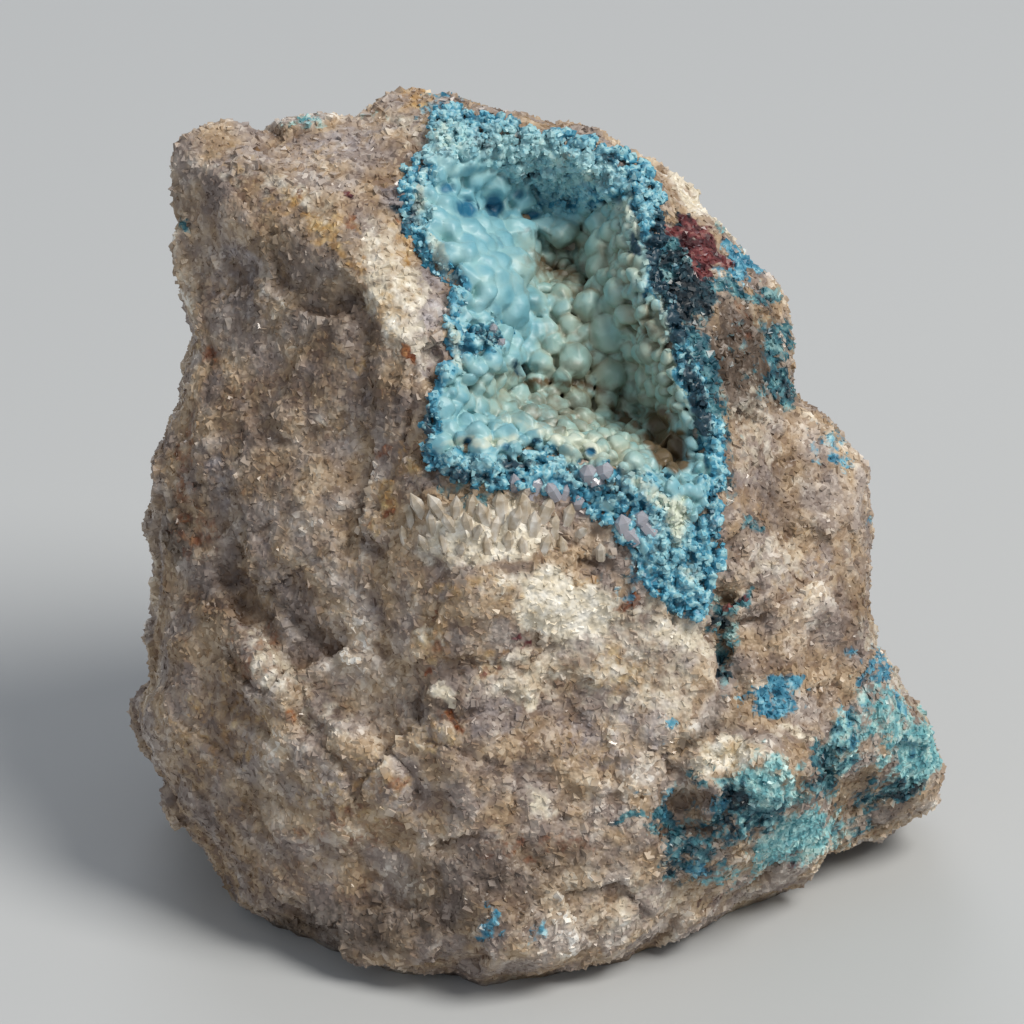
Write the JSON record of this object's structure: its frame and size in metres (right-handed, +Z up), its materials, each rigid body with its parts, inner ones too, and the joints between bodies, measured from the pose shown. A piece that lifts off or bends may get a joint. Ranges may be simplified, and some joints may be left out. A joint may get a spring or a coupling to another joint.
{
  "type": "shattuckite mineral specimen",
  "caption": "Broken lump of brown-grey quartz rock standing on a flat break, its upper front opening into a pocket lined with a blue-green botryoidal crust.",
  "frame": {"origin": "centre of the bounding box at its bottom, on the plane that the specimen rests on", "axes": "+Z up, square to the flat break it rests on; -Y towards the display side with the pocket, which is seen best from 25 degrees above; +X to the right of a person looking at the display side"},
  "size_m": [0.06, 0.0524, 0.0563],
  "materials": {
    "quartz_rock": "rough broken sugary quartz, brown-grey with ochre and cream patches and small sparkles",
    "shattuckite": "satin botryoidal crust, pale greenish blue in the pocket and azure to dark teal round its rim"
  },
  "bodies": {
    "root": {"quartz_stone": "quartz_rock", "shattuckite_crust": "shattuckite"}
  },
  "joints": []
}
